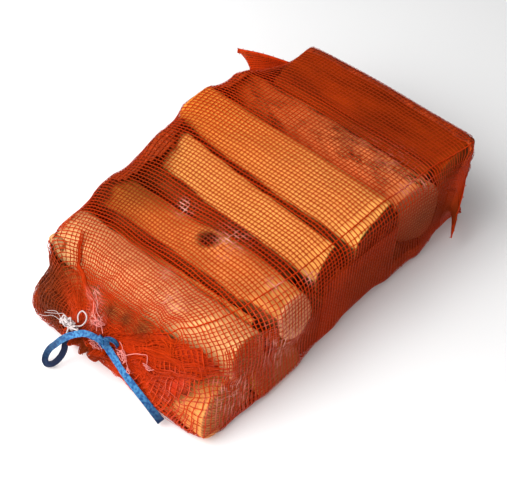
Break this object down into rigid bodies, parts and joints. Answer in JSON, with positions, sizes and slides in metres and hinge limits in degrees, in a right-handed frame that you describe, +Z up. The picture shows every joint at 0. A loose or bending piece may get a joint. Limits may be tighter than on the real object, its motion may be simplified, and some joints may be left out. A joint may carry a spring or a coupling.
{
  "type": "net of firewood",
  "caption": "Red open-mesh net sack of split firewood logs, lying on its side, with a gathered mouth tied by a flat blue tape and loose ears at the sewn end.",
  "frame": {"origin": "middle of the sack's bounding box, on the surface that it lies on", "axes": "+X along the logs, +Y from the tied mouth to the sewn bottom of the sack, +Z up"},
  "size_m": [0.3827, 0.5134, 0.127],
  "materials": {
    "net": "open leno mesh of glossy red-orange plastic yarn",
    "wood": "raw split and sawn wood with some bark",
    "tape": "flat woven plastic tape, slightly glossy"
  },
  "bodies": {
    "root": {"net_bag": "net", "tape_knot": "tape", "tape_loop": "tape", "tape_tail": "tape"}
  },
  "joints": []
}
